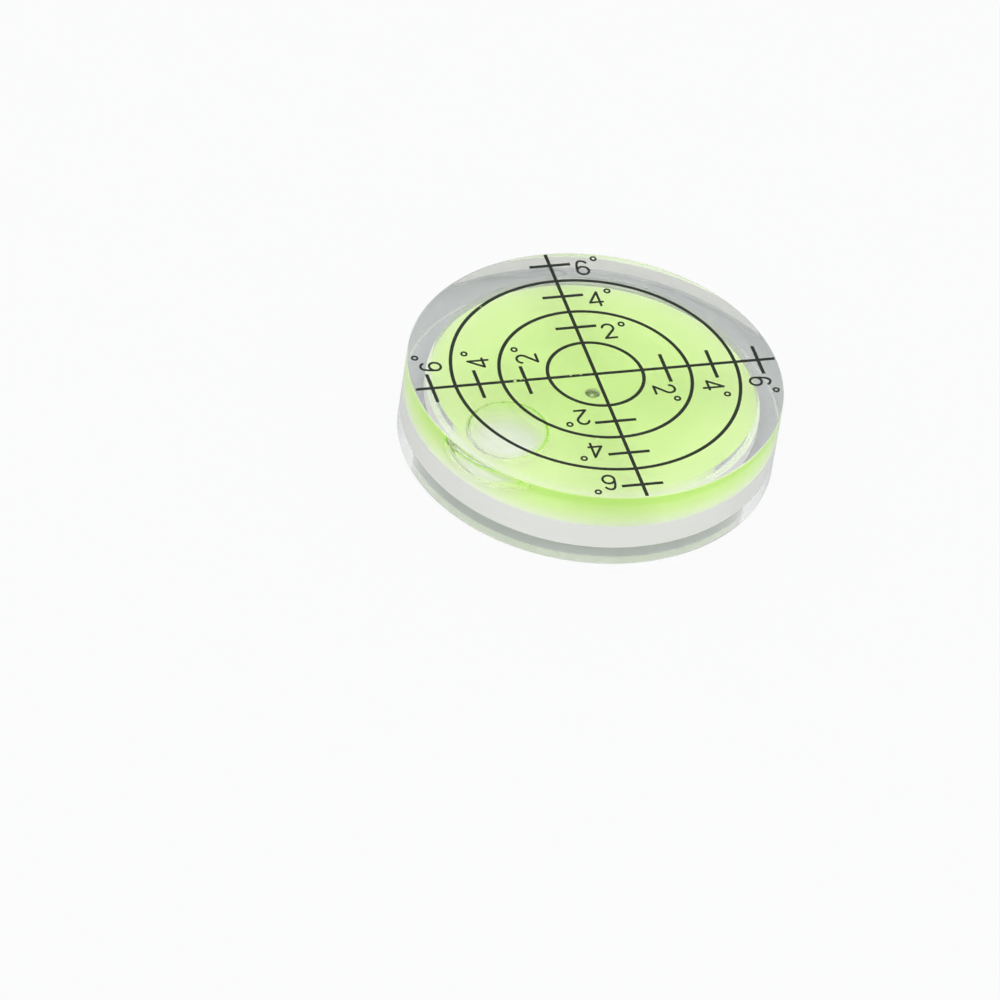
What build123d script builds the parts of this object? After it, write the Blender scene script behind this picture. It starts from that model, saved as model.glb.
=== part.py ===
from build123d import *
import math
import os

# Bullseye level: a clear disc filled with green spirit and one air bubble, read from above.
# Millimetres, +Z up, origin at the centre of the face that the disc stands on.

# Housing, a clear moulded cup that stands open side down
outer_diameter = 32.0
height = 7.3
wall_thickness = 2.1
roof_thickness = 1.0  # at the axis, where the roof is thinnest
top_edge_radius = 0.12
foot_edge_radius = 0.12

# Base, a white disc that closes the cup and seats on a shoulder in its bore
base_recess = 0.85  # how far the base lies above the foot of the housing
base_thickness = 2.45
shoulder_width = 0.3
base_edge_chamfer = 0.15

# Filling hole in the base, closed by a steel ball that is pressed in from below
ball_diameter = 1.5
hole_diameter = 1.3
lip_thickness = 0.5
countersink_diameter = 2.6
countersink_depth = 0.4

# Air bubble, which lies under the roof beside the wall, where the tilted disc holds it
bubble_radius = 3.62
bubble_wall_gap = 0.12
bubble_belly_depth = 0.95  # from the roof down to the widest level of the bubble
bubble_crown_height = 1.7  # above that level, before the roof cuts the bubble off
bubble_foot_height = 2.05  # below that level, before the floor cuts the bubble off
bubble_floor_film = 0.03  # spirit between the bubble and the floor
bubble_bearing = -151.5  # degrees from +X, seen from above

# Printed scale on the top face
ink_thickness = 0.03
line_width = 0.3
tick_length = 3.6
cross_edge_gap = 0.05  # from the ends of the cross to the rim of the top face
tick_edge_gap = 1.52  # from the outermost ticks to the rim of the top face
ring_degrees = (2, 4, 6)
tick_degrees = (3, 5, 7)

# Printed figures, which stand clockwise of each arm with their tops outwards
digit_stroke = 0.21
digit_height = 1.96
digit_width = 1.17
digit_offset = 2.1  # from the arm to the left side of a figure
digit_rise = (0.15, 0.3, 0.38)  # top of each figure above its tick
degree_offset = 3.99  # from the arm to the centre of a degree ring
degree_rise = (-0.08, 0.23, 0.45)  # centre of each degree ring above its tick
degree_radius = 0.23
degree_stroke = 0.17
two_start_angle = 165.0
four_width = 1.32
four_stem_inset = 0.36  # from the right end of the bar to the middle of the stem
four_bar_height = 0.46
six_bowl_radius = 0.5
six_back_width = 0.53  # from the left side to the top of the figure
six_back_inset = 0.015  # of the foot of the back from the side of the bowl
six_turn_radius = 0.35  # of the back where it turns over at the top
six_end_angle = 25.0

# The scale spans the top face, and the roof is domed so that the bubble moves one pitch a degree
top_face_radius = outer_diameter / 2 - top_edge_radius
degree_pitch = (top_face_radius - tick_edge_gap) / tick_degrees[-1]
dome_radius = degree_pitch / math.tan(math.radians(1))

# Sizes worked out from the values above
outer_radius = outer_diameter / 2
cavity_radius = outer_radius - wall_thickness
seat_radius = cavity_radius + shoulder_width
floor_z = base_recess + base_thickness
roof_z = height - roof_thickness
ball_radius = ball_diameter / 2
hole_radius = hole_diameter / 2
lip_z = floor_z - lip_thickness
ball_z = lip_z - math.sqrt(ball_radius**2 - hole_radius**2)
bubble_distance = cavity_radius - bubble_radius - bubble_wall_gap


def roof_height(radius):
    """Height of the hollow underside of the roof at a distance from the axis."""
    return roof_z - dome_radius + math.sqrt(dome_radius**2 - radius**2)


def turned(face):
    """A solid of revolution from a face drawn in the XZ plane."""
    return revolve(face, Axis.Z, 360)


def cup_section():
    """Half section of the space inside the cup, down to the foot."""
    edge_z = roof_height(cavity_radius)
    half_way = cavity_radius / 2
    outline = [
        Line((0, 0, 0), (seat_radius, 0, 0)),
        Line((seat_radius, 0, 0), (seat_radius, 0, floor_z)),
        Line((seat_radius, 0, floor_z), (cavity_radius, 0, floor_z)),
        Line((cavity_radius, 0, floor_z), (cavity_radius, 0, edge_z)),
        ThreePointArc((cavity_radius, 0, edge_z), (half_way, 0, roof_height(half_way)), (0, 0, roof_z)),
        Line((0, 0, roof_z), (0, 0, 0)),
    ]
    return make_face(outline)


def make_housing():
    """The clear cup: a plate with a domed underside and a plain round wall."""
    body = Pos(0, 0, height / 2) * Cylinder(outer_radius, height)
    rims = body.edges().filter_by(GeomType.CIRCLE).sort_by(Axis.Z)
    body = fillet(rims[-1], top_edge_radius)
    foot = body.edges().filter_by(GeomType.CIRCLE).sort_by(Axis.Z)[0]
    body = fillet(foot, foot_edge_radius)
    return body - turned(cup_section())


def make_base():
    """The white disc with its stepped filling hole."""
    disc = Pos(0, 0, base_recess + base_thickness / 2) * Cylinder(seat_radius, base_thickness)
    under_rim = disc.edges().filter_by(GeomType.CIRCLE).sort_by(Axis.Z)[0]
    disc = chamfer(under_rim, base_edge_chamfer)
    mouth = Pos(0, 0, floor_z) * Cylinder(hole_radius, 2 * lip_thickness)
    bore_length = lip_z - base_recess
    ball_bore = Pos(0, 0, base_recess + bore_length / 2) * Cylinder(ball_radius, bore_length)
    funnel = Cone(countersink_diameter / 2, ball_radius, countersink_depth)
    funnel = Pos(0, 0, base_recess + countersink_depth / 2) * funnel
    return disc - mouth - ball_bore - funnel


def make_seal_ball():
    """The steel ball, held under the lip of the filling hole."""
    return Pos(0, 0, ball_z) * Sphere(ball_radius)


def make_bubble():
    """The space that the air takes, which the roof and a film on the floor cut off."""
    belly_z = roof_height(bubble_distance) - bubble_belly_depth
    outline = [
        EllipticalCenterArc((0, 0), bubble_radius, bubble_crown_height, start_angle=0, arc_size=90),
        EllipticalCenterArc((0, 0), bubble_radius, bubble_foot_height, start_angle=270, arc_size=90),
        Line((0, bubble_crown_height), (0, -bubble_foot_height)),
    ]
    bearing = math.radians(bubble_bearing)
    place = Pos(bubble_distance * math.cos(bearing), bubble_distance * math.sin(bearing), belly_z)
    film_top = floor_z + bubble_floor_film
    under_film = Pos(0, 0, film_top / 2) * Cylinder(outer_diameter, film_top)
    return place * turned(Plane.XZ * make_face(outline)) - under_film


def make_spirit():
    """The green spirit, which fills the cup and the mouth of the hole around the bubble."""
    under_floor = Pos(0, 0, floor_z / 2) * Cylinder(outer_diameter, floor_z)
    filling = turned(cup_section()) - under_floor
    mouth_height = floor_z - ball_z
    mouth = Pos(0, 0, ball_z + mouth_height / 2) * Cylinder(hole_radius, mouth_height)
    return filling + mouth - make_seal_ball() - make_bubble()


def print_ink(shape):
    """A drawing in the XY plane as a thin layer of ink on the top face."""
    return Pos(0, 0, height) * extrude(shape, ink_thickness)


def bar(start, end, width):
    """A straight line with square ends."""
    middle = ((start[0] + end[0]) / 2, (start[1] + end[1]) / 2)
    length = math.dist(start, end)
    angle = math.degrees(math.atan2(end[1] - start[1], end[0] - start[0]))
    return Pos(*middle) * Rot(0, 0, angle) * Rectangle(length, width)


def pen_line(start, end):
    """A straight stroke of the figures, with round ends."""
    length = math.dist(start, end)
    middle = ((start[0] + end[0]) / 2, (start[1] + end[1]) / 2)
    angle = math.degrees(math.atan2(end[1] - start[1], end[0] - start[0]))
    return Pos(*middle) * Rot(0, 0, angle) * SlotCenterToCenter(length, digit_stroke)


def pen_arc(centre, radius, start_angle, end_angle):
    """A round stroke of the figures, with round ends."""
    return SlotArc(CenterArc(centre, radius, start_angle, end_angle - start_angle), digit_stroke)


def ring(centre, radius, width):
    """A full circle drawn with the given line width."""
    return Pos(*centre) * (Circle(radius + width / 2) - Circle(radius - width / 2))


# Height and width of a figure between the middles of its strokes
pen_height = digit_height - digit_stroke
pen_width = digit_width - digit_stroke


def draw_two():
    """Figure 2: a round top, a slope that touches it and a flat foot."""
    radius = pen_width / 2
    centre = (radius, pen_height - radius)
    reach = math.hypot(*centre)
    slope_angle = math.atan2(-centre[1], -centre[0]) + math.acos(radius / reach)
    touch = (centre[0] + radius * math.cos(slope_angle), centre[1] + radius * math.sin(slope_angle))
    top = pen_arc(centre, radius, math.degrees(slope_angle), two_start_angle)
    return top + pen_line((0, 0), touch) + pen_line((0, 0), (pen_width, 0))


def draw_four():
    """Figure 4: a stem, a bar that crosses it and a slope."""
    overhang = (four_width - digit_width) / 2
    left = -overhang
    right = pen_width + overhang
    stem = right + digit_stroke / 2 - four_stem_inset
    slope = pen_line((left, four_bar_height), (stem, pen_height))
    upright = pen_line((stem, 0), (stem, pen_height))
    return slope + upright + pen_line((left, four_bar_height), (right, four_bar_height))


def draw_six():
    """Figure 6: a round bowl and a back that rises in a curve and ends in a hook."""
    run = six_back_width - six_back_inset
    turn_rise = pen_height - six_bowl_radius - six_turn_radius
    # The back's long arc starts upright at the bowl and touches the turn at the top
    back_radius = (run**2 + turn_rise**2 - six_turn_radius**2) / (2 * (run - six_turn_radius))
    back_centre = (six_back_inset + back_radius, six_bowl_radius)
    turn_centre = (six_back_width, pen_height - six_turn_radius)
    touch_angle = math.degrees(math.atan2(turn_rise, turn_centre[0] - back_centre[0]))
    hook_radius = pen_width / 2
    hook_centre = (six_back_width, pen_height - hook_radius)
    hook = CenterArc(hook_centre, hook_radius, six_end_angle, 90 - six_end_angle)
    turn = CenterArc(turn_centre, six_turn_radius, 90, touch_angle - 90)
    back = CenterArc(back_centre, back_radius, touch_angle, 180 - touch_angle)
    pen_path = Wire([hook.edge(), turn.edge(), back.edge()])
    bowl = ring((six_bowl_radius, six_bowl_radius), six_bowl_radius, digit_stroke)
    return bowl + SlotArc(pen_path, digit_stroke)


def on_four_arms(arm):
    """Copies of what is drawn beside the +Y arm, turned to all four arms."""
    copies = []
    for quarter in range(4):
        copies.append(Rot(0, 0, -90 * quarter) * arm)
    return copies


def make_scale_lines():
    """Rings, cross and ticks, which are one net of ink."""
    reach = top_face_radius - cross_edge_gap
    arm = bar((0, 0), (0, reach), line_width)
    for degree in tick_degrees:
        radius = degree * degree_pitch
        arm += bar((-tick_length / 2, radius), (tick_length / 2, radius), line_width)
    net = Sketch() + on_four_arms(arm)
    for degree in ring_degrees:
        net += ring((0, 0), degree * degree_pitch, line_width)
    return print_ink(net)


def make_scale_figures():
    """Degree figures 2, 4 and 6 with their degree rings, beside each arm."""
    drawings = (draw_two(), draw_four(), draw_six())
    figures = Sketch()
    for degree, drawing, rise, ring_rise in zip(tick_degrees, drawings, digit_rise, degree_rise):
        tick = degree * degree_pitch
        foot = tick + rise - digit_height + digit_stroke / 2
        figures += Pos(digit_offset + digit_stroke / 2, foot) * drawing
        figures += ring((degree_offset, tick + ring_rise), degree_radius, degree_stroke)
    return print_ink(Sketch() + on_four_arms(figures))


parts = {
    "housing": make_housing(),
    "base_plug": make_base(),
    "seal_ball": make_seal_ball(),
    "spirit": make_spirit(),
    "scale_lines": make_scale_lines(),
    "scale_figures": make_scale_figures(),
}

os.makedirs("parts", exist_ok=True)
for name, shape in parts.items():
    export_step(shape, f"parts/{name}.step")
    print(name, len(shape.solids()), "solids", round(shape.volume, 3), "mm3")
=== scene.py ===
# %% [markdown]
# # A round bullseye level
# The object is a clear plastic disc, 32 mm wide, that holds green spirit with one air bubble
# over a white base. Black rings, a cross and figures are printed on its flat top.
# Almost everything that the eye sees here is seen through clear plastic, so most of this
# lesson is about making clean surfaces that bend light as the real ones do.

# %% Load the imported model
import math
import bpy
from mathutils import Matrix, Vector


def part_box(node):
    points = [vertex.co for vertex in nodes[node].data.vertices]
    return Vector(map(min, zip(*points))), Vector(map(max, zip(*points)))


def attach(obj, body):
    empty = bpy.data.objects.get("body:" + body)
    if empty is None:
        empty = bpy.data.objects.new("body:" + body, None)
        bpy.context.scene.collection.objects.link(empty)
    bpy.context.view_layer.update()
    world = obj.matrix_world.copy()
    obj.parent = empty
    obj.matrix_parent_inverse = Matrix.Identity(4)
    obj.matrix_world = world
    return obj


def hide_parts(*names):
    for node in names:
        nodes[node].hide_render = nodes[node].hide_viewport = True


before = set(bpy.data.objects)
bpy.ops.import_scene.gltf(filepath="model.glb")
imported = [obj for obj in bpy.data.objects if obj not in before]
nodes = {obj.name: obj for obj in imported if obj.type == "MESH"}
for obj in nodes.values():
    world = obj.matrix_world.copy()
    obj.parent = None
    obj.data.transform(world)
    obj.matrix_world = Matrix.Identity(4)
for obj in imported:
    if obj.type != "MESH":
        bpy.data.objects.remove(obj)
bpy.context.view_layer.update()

print("CAD nodes:", sorted(nodes))

# %% [markdown]
# ## Sizes
# The part's own sizes come back here in metres. The boxes of the CAD nodes give most of them,
# so that the looks follow the solids. Only what a box can't tell is written out.

# %% Sizes read from the CAD nodes
MM = 0.001


def low_corner(node):
    return Vector(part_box(node)[0])


def high_corner(node):
    return Vector(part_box(node)[1])


outer_radius = high_corner("housing").x
top_z = high_corner("housing").z
seat_radius = high_corner("base_plug").x
base_low_z = low_corner("base_plug").z
floor_z = high_corner("base_plug").z
cavity_radius = high_corner("spirit").x
roof_z = high_corner("spirit").z
ball_radius = high_corner("seal_ball").x
ball_z = low_corner("seal_ball").z + ball_radius
print("cavity radius", round(cavity_radius / MM, 2), "mm, floor at", round(floor_z / MM, 2), "mm")

# %% Sizes that the boxes can't tell
dome_radius = 117.53 * MM
edge_radius = 0.12 * MM
hole_radius = 0.65 * MM
lip_thickness = 0.5 * MM
countersink_radius = 1.3 * MM
countersink_depth = 0.4 * MM
base_edge_chamfer = 0.15 * MM

# %% [markdown]
# ## Helpers for modelling by hand
# Every new piece starts from a Blender primitive. An operator acts on all that is selected,
# so each step first clears the selection. The turned pieces share one way of working: one
# point is extruded along the half outline, and Spin carries that outline round the axis.

# %% Start and finish a piece


def deselect_all():
    bpy.ops.object.select_all(action="DESELECT")


def name_piece(name):
    piece = bpy.context.object
    piece.name = name
    piece.data.name = name
    return piece


def finish_piece(piece, node):
    """Bake the object's place into its mesh and tie it to the frame."""
    deselect_all()
    piece.select_set(True)
    bpy.context.view_layer.objects.active = piece
    bpy.ops.object.transform_apply(location=True, rotation=True, scale=True)
    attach(piece, "root")
    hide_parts(node)
    size = tuple(round(d / MM, 2) for d in piece.dimensions)
    print(piece.name, "has", len(piece.data.polygons), "faces and measures", size, "mm")


# %% Turn a half outline round the axis
TURN_STEPS = 720
WELD = 0.0005 * MM
SHARP_ANGLE = math.radians(25)  # steeper edges stay sharp in the shading


def turn_outline(name, outline):
    """A closed turned shape from (radius, height) points that start and end on the axis."""
    deselect_all()
    bpy.ops.mesh.primitive_plane_add(size=MM, location=(0, 0, 0))
    piece = name_piece(name)
    bpy.ops.object.mode_set(mode="EDIT")
    bpy.ops.mesh.merge(type="CENTER")
    first_radius, first_height = outline[0]
    here = Vector((first_radius, 0, first_height))
    bpy.ops.transform.translate(value=here)
    for radius, height in outline[1:]:
        there = Vector((radius, 0, height))
        bpy.ops.mesh.extrude_region_move(TRANSFORM_OT_translate={"value": there - here})
        here = there
    bpy.ops.mesh.select_all(action="SELECT")
    bpy.ops.mesh.spin(steps=TURN_STEPS, angle=2 * math.pi, center=(0, 0, 0), axis=(0, 0, 1))
    bpy.ops.mesh.select_all(action="SELECT")
    bpy.ops.mesh.remove_doubles(threshold=WELD)
    bpy.ops.mesh.normals_make_consistent(inside=False)
    bpy.ops.object.mode_set(mode="OBJECT")
    bpy.ops.object.shade_smooth_by_angle(angle=SHARP_ANGLE)
    return piece


def roof_height(radius):
    """Height of the domed underside of the roof at a distance from the axis."""
    return roof_z - dome_radius + math.sqrt(dome_radius**2 - radius**2)


def rounded(centre_radius, centre_z, start, end, steps=4):
    """Points of a small quarter round, from one angle in degrees to another."""
    points = []
    for step in range(steps + 1):
        angle = math.radians(start + (end - start) * step / steps)
        out = centre_radius + edge_radius * math.cos(angle)
        points.append((out, centre_z + edge_radius * math.sin(angle)))
    return points


# %% [markdown]
# ## The housing
# The real housing is one moulding of clear acrylic: a plate whose underside is a very shallow
# dome, with a plain round wall. A CAD mesh has flat facets, and in clear plastic each facet
# would bend the light its own way, so the cup is turned again here with far more steps.
# Next to each rounded edge a narrow ring of faces keeps the large flat faces truly flat.

# %% Turn the housing
RING = 0.02 * MM  # width of that ring
DOME_STEPS = 24

body_radius = outer_radius - edge_radius
outline = [(0, top_z), (body_radius - RING, top_z)]
outline += rounded(body_radius, top_z - edge_radius, 90, 0)
outline += [(outer_radius, top_z - edge_radius - RING), (outer_radius, edge_radius + RING)]
outline += rounded(body_radius, edge_radius, 0, -90)
outline += [(body_radius - RING, 0), (seat_radius, 0)]
outline += [(seat_radius, floor_z), (cavity_radius, floor_z)]
for step in range(DOME_STEPS, -1, -1):
    radius = cavity_radius * step / DOME_STEPS
    outline.append((radius, roof_height(radius)))

cup = turn_outline("clear_cup", outline)
finish_piece(cup, "housing")

# %% [markdown]
# ## The base
# The white base is a moulded disc that seats on the shoulder in the housing's bore. It is
# bonded there, so no air lies between the two. To get that wet look the disc reaches a
# hundredth of a millimetre into the clear wall: light in the wall then meets white plastic
# before it meets the wall's inner face, and no mirror-like layer of air shows. For the same
# reason its top reaches a little way into the shoulder.

# %% Turn the base with its stepped filling hole
CONTACT = 0.01 * MM  # how far a piece reaches into the clear plastic that it touches

rim_radius = seat_radius + CONTACT
rim_top_z = floor_z + CONTACT / 4
lip_z = floor_z - lip_thickness
outline = [(hole_radius, rim_top_z), (rim_radius, rim_top_z)]
outline += [(rim_radius, base_low_z + base_edge_chamfer)]
outline += [(seat_radius - base_edge_chamfer, base_low_z)]
outline += [(countersink_radius, base_low_z), (ball_radius, base_low_z + countersink_depth)]
outline += [(ball_radius, lip_z), (hole_radius, lip_z), (hole_radius, rim_top_z)]

base = turn_outline("white_base", outline)
finish_piece(base, "base_plug")

# %% [markdown]
# ## The seal ball
# A steel ball is pressed into the filling hole from below. Only its crown shows, deep in the
# hole, with the spirit over it, so a plain sphere with enough faces does.

# %% Add the ball
deselect_all()
bpy.ops.mesh.primitive_uv_sphere_add(
    segments=64, ring_count=32, radius=ball_radius, location=(0, 0, ball_z)
)
ball = name_piece("seal_ball_steel")
bpy.ops.object.shade_smooth()
finish_piece(ball, "seal_ball")

# %% [markdown]
# ## The spirit
# The spirit fills the cup and the mouth of the filling hole, down to the ball. Its sides reach
# a hair into the plastic round it, as the base does, and its foot lies a hair under the top of
# the base.

# %% Turn the spirit
BALL_STEPS = 12

wetted_radius = ball_radius - CONTACT
crown_angle = math.asin(hole_radius / ball_radius)
outline = []
for step in range(BALL_STEPS + 1):
    angle = crown_angle * step / BALL_STEPS
    outline.append((wetted_radius * math.sin(angle), ball_z + wetted_radius * math.cos(angle)))
mouth_radius = hole_radius + CONTACT
side_radius = cavity_radius + CONTACT
spirit_low_z = floor_z - 2 * CONTACT
outline += [(mouth_radius, lip_z), (mouth_radius, spirit_low_z), (side_radius, spirit_low_z)]
for step in range(DOME_STEPS, -1, -1):
    radius = side_radius * step / DOME_STEPS
    outline.append((radius, roof_height(radius) + CONTACT))
spirit = turn_outline("green_spirit", outline)

# %% [markdown]
# ## The bubble
# The bubble is a hollow in the spirit. Surface tension rounds its rim, the roof presses its top
# flat, and its foot nearly touches the floor. A film of spirit thinner than a hair stays
# between the air and the plastic. The bubble lies against the wall, as the disc is not level.
# Its half outline is turned first, with one millimetre standing for the height from floor to
# roof. Each of its points is then set between the true floor and the domed roof, and the shape
# is cut out of the spirit.

# %% Turn the bubble
bubble_radius = 3.62 * MM
bubble_wall_gap = 0.12 * MM
bubble_bearing = math.radians(-151.5)
bubble_top_radius = 3.0 * MM
bubble_foot_radius = 2.3 * MM
bubble_belly = 0.6  # height of the widest level, as a share of the way from floor to roof
roof_film = 0.02 * MM
floor_film = 0.03 * MM
ROUND_STEPS = 14
FULL_HEIGHT = MM

outline = [(0, FULL_HEIGHT), (bubble_top_radius / 2, FULL_HEIGHT)]
for step in range(ROUND_STEPS + 1):
    angle = math.pi / 2 * step / ROUND_STEPS
    reach = bubble_top_radius + (bubble_radius - bubble_top_radius) * math.sin(angle)
    share = bubble_belly + (1 - bubble_belly) * math.cos(angle)
    outline.append((reach, FULL_HEIGHT * share))
for step in range(1, ROUND_STEPS + 1):
    angle = math.pi / 2 * step / ROUND_STEPS
    reach = bubble_foot_radius + (bubble_radius - bubble_foot_radius) * math.cos(angle)
    share = bubble_belly * (1 - math.sin(angle))
    outline.append((reach, FULL_HEIGHT * share))
outline += [(bubble_foot_radius / 2, 0), (0, 0)]
bubble = turn_outline("bubble_cutter", outline)

# %% Set the bubble between floor and roof
bubble_distance = cavity_radius - bubble_radius - bubble_wall_gap
bubble_x = bubble_distance * math.cos(bubble_bearing)
bubble_y = bubble_distance * math.sin(bubble_bearing)
low = floor_z + floor_film
for vertex in bubble.data.vertices:
    vertex.co.x += bubble_x
    vertex.co.y += bubble_y
    high = roof_height(math.hypot(vertex.co.x, vertex.co.y)) - roof_film
    vertex.co.z = low + (high - low) * vertex.co.z / FULL_HEIGHT
print("bubble", round(2 * bubble_radius / MM, 2), "mm wide,",
      round(bubble_distance / MM, 2), "mm off the axis")

# %% Cut the bubble out of the spirit
cut = spirit.modifiers.new("bubble", "BOOLEAN")
cut.operation = "DIFFERENCE"
cut.object = bubble
cut.solver = "EXACT"
bpy.context.view_layer.objects.active = spirit
bpy.ops.object.modifier_apply(modifier=cut.name)
bpy.data.objects.remove(bubble)
deselect_all()
spirit.select_set(True)
bpy.ops.object.shade_smooth_by_angle(angle=SHARP_ANGLE)
finish_piece(spirit, "spirit")

# %% [markdown]
# ## Surface detail that several materials share
# Three small node groups make the fine detail: long fine scratches, soft clouds and a moulding
# grain. Each works in object coordinates, so the detail stays the same size on every piece. A
# group gives out only masks and values, and each material decides what it does with them.
# A scratch is where a noise that is stretched into long streaks passes its middle value, and a
# second, broad noise leaves the scratches out in places. The scratches run in two directions.

# %% Start a node group


def start_group(name, inputs, outputs):
    """A new node group. An input whose value is a tuple becomes a vector."""
    group = bpy.data.node_groups.new(name, "ShaderNodeTree")
    for label, value in inputs.items():
        kind = "NodeSocketVector" if isinstance(value, tuple) else "NodeSocketFloat"
        socket = group.interface.new_socket(label, in_out="INPUT", socket_type=kind)
        socket.default_value = value
    for label in outputs:
        group.interface.new_socket(label, in_out="OUTPUT", socket_type="NodeSocketFloat")
    return group, group.nodes.new("NodeGroupInput"), group.nodes.new("NodeGroupOutput")


def millimetres(tree, stretch=(1, 1, 1), turn=(0, 0, 0)):
    """Object coordinates in millimetres, stretched and turned for one texture."""
    place = tree.nodes.new("ShaderNodeTexCoord")
    mapping = tree.nodes.new("ShaderNodeMapping")
    mapping.inputs["Scale"].default_value = [s / MM for s in stretch]
    mapping.inputs["Rotation"].default_value = [math.radians(a) for a in turn]
    tree.links.new(place.outputs["Object"], mapping.inputs["Vector"])
    return mapping.outputs["Vector"]


def noise(tree, vector, scale, detail, roughness=0.5):
    texture = tree.nodes.new("ShaderNodeTexNoise")
    texture.inputs["Scale"].default_value = scale
    texture.inputs["Detail"].default_value = detail
    texture.inputs["Roughness"].default_value = roughness
    tree.links.new(vector, texture.inputs["Vector"])
    return texture.outputs["Fac"]


def number(tree, operation, *values):
    """One Math node. Each value is a number or an output to be linked."""
    node = tree.nodes.new("ShaderNodeMath")
    node.operation = operation
    for slot, value in zip(node.inputs, values):
        if isinstance(value, (int, float)):
            slot.default_value = value
        else:
            tree.links.new(value, slot)
    return node.outputs[0]


def weigh(tree, first, share, second):
    """The sum of two values, the first by its share and the second by the rest."""
    rest = number(tree, "MULTIPLY", second, 1 - share)
    return number(tree, "MULTIPLY_ADD", first, share, rest)


def spread(tree, value, span, result):
    """Map Range: the span becomes the result, held at both ends."""
    node = tree.nodes.new("ShaderNodeMapRange")
    tree.links.new(value, node.inputs["Value"])
    labels = ("From Min", "From Max", "To Min", "To Max")
    for label, setting in zip(labels, (*span, *result)):
        node.inputs[label].default_value = setting
    return node.outputs["Result"]


# %% Fine scratches
SCRATCH_DIRECTIONS = [  # stretch of the streaks, and their turn in degrees
    ((0.05, 2.2, 2.2), (0, 12, 24)),
    ((2.0, 0.06, 2.0), (8, 0, -17)),
]
PATCH_STRETCH = (0.35, 0.35, 0.35)
PATCH_SPAN = (0.5, 0.62)

scratches, ins, outs = start_group("fine_scratches", {"Width": 0.012}, ["Mask"])
lines = []
for stretch, turn in SCRATCH_DIRECTIONS:
    streaks = noise(scratches, millimetres(scratches, stretch, turn), scale=1.0, detail=1.0)
    off_middle = number(scratches, "ABSOLUTE", number(scratches, "SUBTRACT", streaks, 0.5))
    line = number(scratches, "LESS_THAN", off_middle, ins.outputs["Width"])
    patch_place = millimetres(scratches, PATCH_STRETCH, turn)
    patches = noise(scratches, patch_place, scale=1.0, detail=2.0)
    shown = spread(scratches, patches, PATCH_SPAN, (0, 1))
    lines.append(number(scratches, "MULTIPLY", line, shown))
scratches.links.new(number(scratches, "MAXIMUM", *lines), outs.inputs["Mask"])
print("scratches run in", len(lines), "directions")

# %% Soft clouds and moulding grain
NOISE_SPAN = (0.3, 0.7)  # nearly all values of a noise lie between these two

clouds, ins, outs = start_group("soft_clouds", {}, ["Value"])
broad = noise(clouds, millimetres(clouds), scale=0.16, detail=3.0)
narrow = noise(clouds, millimetres(clouds), scale=0.9, detail=2.0)
both = weigh(clouds, broad, 0.7, narrow)
clouds.links.new(spread(clouds, both, NOISE_SPAN, (0, 1)), outs.inputs["Value"])

grain, ins, outs = start_group("moulding_grain", {}, ["Height"])
fine = noise(grain, millimetres(grain), scale=9.0, detail=3.0, roughness=0.6)
coarse = noise(grain, millimetres(grain), scale=1.7, detail=2.0)
grain.links.new(weigh(grain, fine, 0.6, coarse), outs.inputs["Height"])
print("node groups:", [group.name for group in bpy.data.node_groups])

# %% [markdown]
# ## Helpers for materials
# Every material starts from the Principled shader. Its colour drifts a little between two
# near shades, as no moulding or print is quite even, and its fine relief comes from a Bump
# node that is fed by one of the groups.

# %% Make a material


def new_material(name):
    material = bpy.data.materials.new(name)
    material.use_nodes = True
    return material, material.node_tree, material.node_tree.nodes["Principled BSDF"]


def use_group(tree, group, output, **settings):
    node = tree.nodes.new("ShaderNodeGroup")
    node.node_tree = group
    for label, value in settings.items():
        node.inputs[label].default_value = value
    return node.outputs[output]


def bump(tree, shader, height, strength, depth):
    """Fine relief, as deep as stated in millimetres."""
    node = tree.nodes.new("ShaderNodeBump")
    node.inputs["Strength"].default_value = strength
    node.inputs["Distance"].default_value = depth * MM
    tree.links.new(height, node.inputs["Height"])
    tree.links.new(node.outputs["Normal"], shader.inputs["Normal"])


def blend(tree, mask, low, high):
    """A colour between two, chosen by a mask. Each is a colour or an output to be linked."""
    node = tree.nodes.new("ShaderNodeMix")
    node.data_type = "RGBA"
    for slot, colour in ((node.inputs["A"], low), (node.inputs["B"], high)):
        if isinstance(colour, tuple):
            slot.default_value = (*colour, 1)
        else:
            tree.links.new(colour, slot)
    tree.links.new(mask, node.inputs["Factor"])
    return node.outputs["Result"]


def cloudy_colour(tree, shader, shades):
    """Let the colour drift between two shades, and give back the cloud that drives it."""
    cloud = use_group(tree, clouds, "Value")
    tree.links.new(blend(tree, cloud, *shades), shader.inputs["Base Color"])
    return cloud


def grained_surface(tree, shader, roughness, strength, depth):
    """Let the moulding grain drive both the roughness and the relief."""
    height = use_group(tree, grain, "Height")
    tree.links.new(spread(tree, height, NOISE_SPAN, roughness), shader.inputs["Roughness"])
    bump(tree, shader, height, strength, depth)


def show_mix(tree, factor, first, second):
    """Show a mix of two shaders on the surface."""
    mix = tree.nodes.new("ShaderNodeMixShader")
    for slot, source in zip(mix.inputs, (factor, first, second)):
        tree.links.new(source, slot)
    tree.links.new(mix.outputs[0], tree.nodes["Material Output"].inputs["Surface"])


def dress(piece, *materials):
    piece.data.materials.clear()
    for material in materials:
        piece.data.materials.append(material)


# %% [markdown]
# ## Clear plastic
# The acrylic is a Principled shader with full Transmission Weight. A ray that looks for a lamp
# would be lost in it, because Cycles aims at lamps in a straight line, so the material shows a
# Transparent shader to such shadow rays.
# Light bends by the ratio of the two materials that meet at a face. The faces of the housing
# that the spirit wets therefore carry the ratio of plastic to spirit.
# The foot of the wall holds back some lamplight: in the real wall much of it stays trapped, so
# the paper below lies in a soft grey shade.

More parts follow.
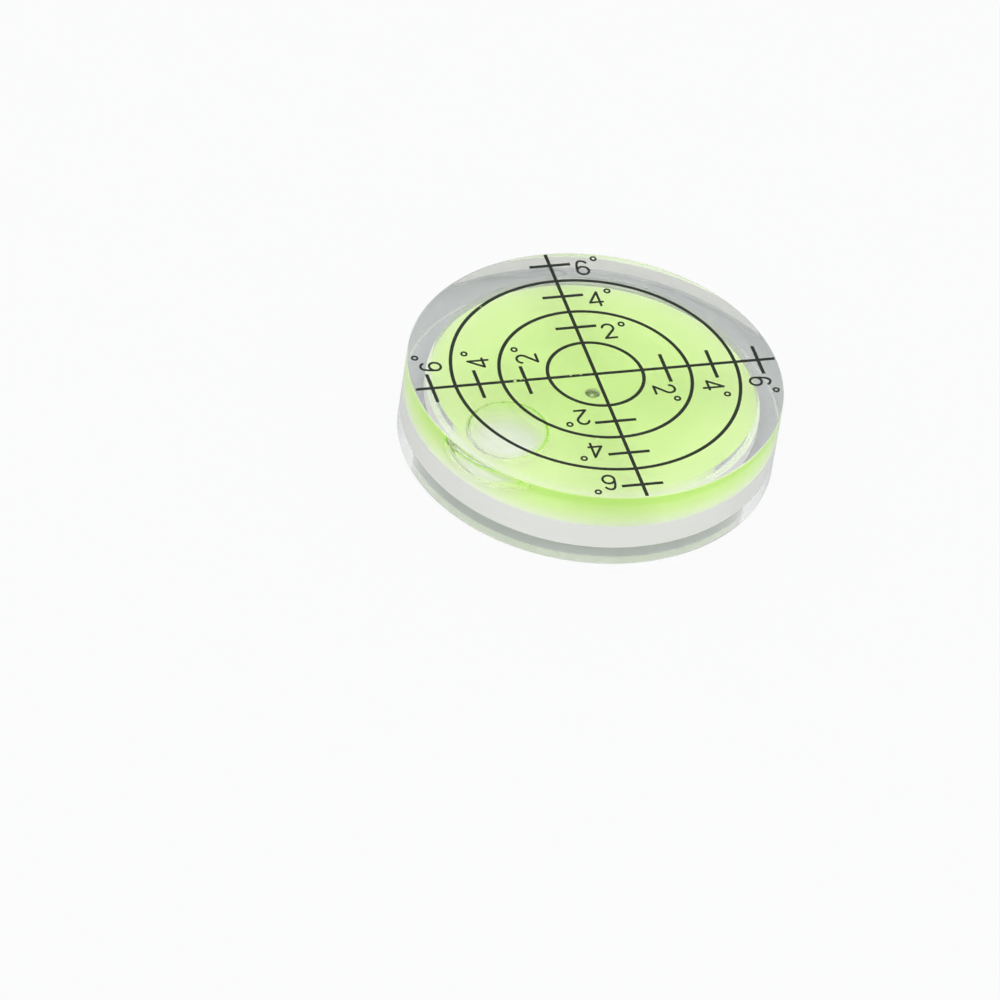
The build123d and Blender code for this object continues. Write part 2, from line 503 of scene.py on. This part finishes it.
# %% Clear acrylic
ACRYLIC_IOR = 1.49
SPIRIT_IOR = 1.42
ACRYLIC_SHADES = ((0.985, 0.995, 0.99), (1, 1, 1))
ALL_LIGHT = (1, 1, 1)
FOOT_LIGHT = (0.50, 0.51, 0.53)


def let_lamps_through(tree, shader, tint):
    """Show the shader to every ray but those that look for a lamp."""
    clear = tree.nodes.new("ShaderNodeBsdfTransparent")
    clear.inputs["Color"].default_value = (*tint, 1)
    path = tree.nodes.new("ShaderNodeLightPath")
    show_mix(tree, path.outputs["Is Shadow Ray"], shader.outputs["BSDF"], clear.outputs["BSDF"])


def clear_acrylic(name, ior, tint, scratch_width, scratch_roughness):
    material, tree, shader = new_material(name)
    shader.inputs["IOR"].default_value = ior
    shader.inputs["Transmission Weight"].default_value = 1.0
    cloudy_colour(tree, shader, ACRYLIC_SHADES)
    scratch = use_group(tree, scratches, "Mask", Width=scratch_width)
    roughness = number(tree, "MULTIPLY", scratch, scratch_roughness)
    tree.links.new(roughness, shader.inputs["Roughness"])
    bump(tree, shader, scratch, strength=0.25, depth=0.004)
    let_lamps_through(tree, shader, tint)
    return material


in_air = clear_acrylic(
    "clear_acrylic", ACRYLIC_IOR, ALL_LIGHT, scratch_width=0.004, scratch_roughness=0.12
)
wetted = clear_acrylic(
    "acrylic_wetted_by_spirit", ACRYLIC_IOR / SPIRIT_IOR, ALL_LIGHT,
    scratch_width=0.002, scratch_roughness=0.03,
)
foot = clear_acrylic(
    "acrylic_foot", ACRYLIC_IOR, FOOT_LIGHT, scratch_width=0.012, scratch_roughness=0.25
)

# %% Dress the housing face by face
IN_AIR, WETTED, FOOT = range(3)

dress(cup, in_air, wetted, foot)
for face in cup.data.polygons:
    middle = face.center
    in_cavity = math.hypot(middle.x, middle.y) < cavity_radius + RING
    if in_cavity and floor_z + RING < middle.z < top_z - RING:
        face.material_index = WETTED
    elif middle.z < RING / 2:
        face.material_index = FOOT
    else:
        face.material_index = IN_AIR
print("wetted faces:", sum(face.material_index == WETTED for face in cup.data.polygons))

# %% [markdown]
# ## Green spirit
# The spirit is clear like the plastic, and a dye in its volume takes out blue and some red. Its
# outer faces bend nothing, because the wetted plastic already does, and only the faces of the
# bubble carry the spirit's own index. A number stored on each face tells the two apart, so that
# one material serves both: two materials with a volume on one mesh would confuse the renderer.

# %% Mark the faces of the bubble
bends = spirit.data.attributes.new("bends_light", "FLOAT", "FACE")
for face in spirit.data.polygons:
    middle = face.center
    off_centre = math.hypot(middle.x - bubble_x, middle.y - bubble_y)
    roof_here = roof_height(math.hypot(middle.x, middle.y))
    between = floor_z + floor_film / 2 < middle.z < roof_here - roof_film / 2
    bends.data[face.index].value = float(between and off_centre < bubble_radius + RING)
print("bubble faces:", sum(item.value > 0 for item in bends.data))

# %% Dyed spirit
DYE_PER_MM = (0.040, 0.002, 0.135)  # absorbed red, green and blue
DYE_HEADROOM = 1.03  # keeps the colour of the volume just above zero in its weakest part
SPIRIT_SHADES = ((0.99, 1, 0.98), (1, 1, 1))
SPIRIT_ROUGHNESS = 0.004

dyed, tree, shader = new_material("dyed_spirit")
# an export that can't follow the link reads it
shader.inputs["IOR"].default_value = SPIRIT_IOR  # the spirit's own index, which stays as the socket's value under the link
mark = tree.nodes.new("ShaderNodeAttribute")
mark.attribute_name = "bends_light"
ior = spread(tree, mark.outputs["Fac"], (0, 1), (1, SPIRIT_IOR))
tree.links.new(ior, shader.inputs["IOR"])
shader.inputs["Transmission Weight"].default_value = 1.0
cloud = cloudy_colour(tree, shader, SPIRIT_SHADES)
tree.links.new(number(tree, "MULTIPLY", cloud, SPIRIT_ROUGHNESS), shader.inputs["Roughness"])
dye = tree.nodes.new("ShaderNodeVolumeAbsorption")
strongest = max(DYE_PER_MM) * DYE_HEADROOM
dye.inputs["Color"].default_value = [1 - share / strongest for share in DYE_PER_MM] + [1]
dye.inputs["Density"].default_value = strongest / MM
tree.links.new(dye.outputs[0], tree.nodes["Material Output"].inputs["Volume"])
let_lamps_through(tree, shader, ALL_LIGHT)
dress(spirit, dyed)
print("spirit:", dyed.name)

# %% [markdown]
# ## White base
# The base is white styrene. Light is also painted onto it as emission, though it is no lamp:
# a faint green-white painted glow on its underside, a fainter painted glow on its side and a
# trace of painted green light on its top. They stand in for light that the spirit and the wall
# bring to it. Height alone tells the underside, the side and the top apart.

# %% White styrene
STYRENE_SHADES = ((0.915, 0.92, 0.90), (0.945, 0.95, 0.93))
# painted light: emission colours that make the base glow, though it is no lamp
TOP_PAINTED_GLOW = (0.04, 0.07, 0.01)
SIDE_PAINTED_GLOW = (0.11, 0.105, 0.095)
UNDERSIDE_PAINTED_GLOW = (0.25, 0.29, 0.2)
FADE_START, FADE_END = 0.01, 0.04  # millimetres from a face, where its painted glow gives way

white, tree, shader = new_material("white_styrene")
cloudy_colour(tree, shader, STYRENE_SHADES)
grained_surface(tree, shader, roughness=(0.34, 0.5), strength=0.3, depth=0.01)
split = tree.nodes.new("ShaderNodeSeparateXYZ")
tree.links.new(millimetres(tree), split.inputs["Vector"])
underside, top = base_low_z / MM, floor_z / MM
low_fade = (underside + FADE_START, underside + FADE_END)
top_fade = (top - FADE_END, top - FADE_START)
above_underside = spread(tree, split.outputs["Z"], low_fade, (0, 1))
at_top = spread(tree, split.outputs["Z"], top_fade, (0, 1))
painted_glow = blend(tree, at_top, SIDE_PAINTED_GLOW, TOP_PAINTED_GLOW)
painted_glow = blend(tree, above_underside, UNDERSIDE_PAINTED_GLOW, painted_glow)
# the painted glow goes into the emission, so the base shines with painted light
tree.links.new(painted_glow, shader.inputs["Emission Color"])
shader.inputs["Emission Strength"].default_value = 1.0
dress(base, white)
print("base:", white.name)

# %% [markdown]
# ## Steel ball
# The ball is ground steel that has dulled in the spirit, so it is grey rather than mirror
# bright, with fine grinding marks.

# %% Ground steel
STEEL_SHADES = ((0.36, 0.38, 0.36), (0.46, 0.48, 0.46))
STEEL_ROUGHNESS = (0.22, 0.4)  # between the marks, and in them

steel, tree, shader = new_material("ground_steel")
cloudy_colour(tree, shader, STEEL_SHADES)
shader.inputs["Metallic"].default_value = 1.0
scratch = use_group(tree, scratches, "Mask", Width=0.03)
tree.links.new(spread(tree, scratch, (0, 1), STEEL_ROUGHNESS), shader.inputs["Roughness"])
bump(tree, shader, scratch, strength=0.2, depth=0.003)
dress(ball, steel)
print("ball:", steel.name)

# %% [markdown]
# ## Printed ink
# The rings, cross and figures are pad printed in black. The print has worn through in a few
# places: a short gap and some flecks on the left arm of the cross, a nick at its end, one on
# the right arm and one on the outer ring. Each worn place is a small round mask with a ragged
# edge that takes the ink away. The places are written out in degrees of the scale, because
# they are easy to read off against its rings and ticks.

# %% A worn place in the print
RAGGED_EDGE = 0.04  # millimetres in and out

wear, ins, outs = start_group("worn_place", {"Place": (0, 0, 0), "Reach": 0.0}, ["Keep"])
away = wear.nodes.new("ShaderNodeVectorMath")
away.operation = "DISTANCE"
wear.links.new(millimetres(wear), away.inputs[0])
wear.links.new(ins.outputs["Place"], away.inputs[1])
rough = noise(wear, millimetres(wear), scale=6.0, detail=2.0)
ragged = spread(wear, rough, NOISE_SPAN, (-RAGGED_EDGE, RAGGED_EDGE))
distance = number(wear, "ADD", away.outputs["Value"], ragged)
kept = number(wear, "GREATER_THAN", distance, ins.outputs["Reach"])
wear.links.new(kept, outs.inputs["Keep"])

# %% Ink
INK_SHADES = ((0.008, 0.012, 0.008), (0.018, 0.022, 0.016))
PITCH = 16 / 7.8  # millimetres for each degree of the scale
WORN_PLACES = [  # right, up and reach in degrees, and the share of the ink that is gone
    (-3.46, 0.0, 0.075, 1.0),
    (-3.2, 0.07, 0.055, 0.9),
    (-3.07, 0.06, 0.05, 0.9),
    (-4.13, 0.05, 0.05, 0.5),
    (-1.05, 0.06, 0.055, 0.9),
    (-0.62, 0.06, 0.06, 0.9),
    (-7.72, 0.05, 0.07, 0.9),
    (-3.61, 4.79, 0.05, 0.9),
    (7.6, 0.05, 0.04, 0.8),
]

ink, tree, shader = new_material("printed_ink")
cloudy_colour(tree, shader, INK_SHADES)
shader.inputs["Specular IOR Level"].default_value = 0.2
grained_surface(tree, shader, roughness=(0.45, 0.7), strength=0.4, depth=0.008)
left_here = []
for x, y, reach, gone in WORN_PLACES:
    place = (x * PITCH, y * PITCH, top_z / MM)
    keep = use_group(tree, wear, "Keep", Place=place, Reach=reach * PITCH)
    left_here.append(spread(tree, keep, (0, 1), (1 - gone, 1)))
left = left_here[0]
for other in left_here[1:]:
    left = number(tree, "MINIMUM", left, other)
tree.links.new(left, shader.inputs["Alpha"])
for name in ("scale_lines", "scale_figures"):
    for slot in nodes[name].material_slots:
        slot.material = ink
print("worn places:", len(WORN_PLACES))

# %% [markdown]
# ## Floor
# The level lies on plain white paper. The paper turns nearly white for rays from the camera, so
# the background is pale while the lamps stay at a plain level. Rays that come through the
# plastic see only a small share of that white, and otherwise the paper in the level's shade.

# %% Floor
FLOOR_SIZE = 2  # metres
FLOOR_GAP = 0.02 * MM  # keeps the paper from lying in the same plane as the foot
PAPER_SHADES = ((0.54, 0.555, 0.575), (0.56, 0.575, 0.595))
CAMERA_SHARE = 0.9
THROUGH_SHARE = 0.05

deselect_all()
bpy.ops.mesh.primitive_plane_add(size=FLOOR_SIZE, location=(0, 0, -FLOOR_GAP))
floor = name_piece("floor")
paper, tree, shader = new_material("white_paper")
cloudy_colour(tree, shader, PAPER_SHADES)
grained_surface(tree, shader, roughness=(0.85, 0.95), strength=0.2, depth=0.02)
path = tree.nodes.new("ShaderNodeLightPath")
seen = number(tree, "MULTIPLY", path.outputs["Is Camera Ray"], CAMERA_SHARE)
through = number(
    tree, "MAXIMUM", path.outputs["Is Transmission Ray"], path.outputs["Is Glossy Ray"]
)
share = number(tree, "MULTIPLY_ADD", through, THROUGH_SHARE, seen)
plain_white = tree.nodes.new("ShaderNodeEmission")
show_mix(tree, share, shader.outputs["BSDF"], plain_white.outputs[0])
dress(floor, paper)
print("floor:", paper.name)

# %% [markdown]
# ## Light
# Soft, even light comes from all round, from a large lamp straight above and from a weaker one
# in front, as in a white photo tent.

# %% World and lamps
WORLD_LIGHT = 0.92

world = bpy.data.worlds.new("studio")
bpy.context.scene.world = world
world.use_nodes = True
background = world.node_tree.nodes["Background"]
background.inputs["Color"].default_value = (1, 1, 1, 1)
background.inputs["Strength"].default_value = WORLD_LIGHT


def soft_lamp(name, place, size, watts):
    """A square lamp that points at the object, with place and size in metres."""
    bpy.ops.object.light_add(type="AREA", location=place)
    lamp = name_piece(name)
    lamp.data.size = size
    lamp.data.energy = watts
    lamp.rotation_euler = (-Vector(place)).to_track_quat("-Z", "Y").to_euler()


soft_lamp("overhead_softbox", place=(0, 0, 0.5), size=0.5, watts=0.95)
soft_lamp("front_softbox", place=(-0.12, -0.42, 0.2), size=0.35, watts=0.3)
print("lamps:", [lamp.name for lamp in bpy.data.lights])

# %% [markdown]
# ## Camera
# The camera stands about a metre away and looks down at 40 degrees through a long lens. Its
# place and turn come from fitting the printed rings and the rim.

# %% Camera
CAMERA_PLACE_MM = (-289.581, -723.627, 645.783)
CAMERA_TURN_DEG = (49.66188, -6.85425, -15.55995)
LENS_MM = 430.883

bpy.ops.object.camera_add(
    location=[c * MM for c in CAMERA_PLACE_MM],
    rotation=[math.radians(a) for a in CAMERA_TURN_DEG],
)
camera = name_piece("camera")
camera.data.lens = LENS_MM
camera.data.clip_start = 0.01
camera.data.clip_end = 20
bpy.context.scene.camera = camera
print("camera", round(camera.location.length / MM), "mm from the centre of the foot")

# %% [markdown]
# ## Light bounces and colour
# A ray crosses many clear faces on its way through the wall, the spirit and the bubble, and some
# are reflected inside several times. Too few bounces would leave dark patches there.

# %% Light bounces and colour
scene = bpy.context.scene
scene.view_settings.view_transform = "Standard"
scene.cycles.max_bounces = 20
scene.cycles.diffuse_bounces = 4
scene.cycles.transmission_bounces = 16
scene.cycles.glossy_bounces = 8
scene.cycles.transparent_max_bounces = 12
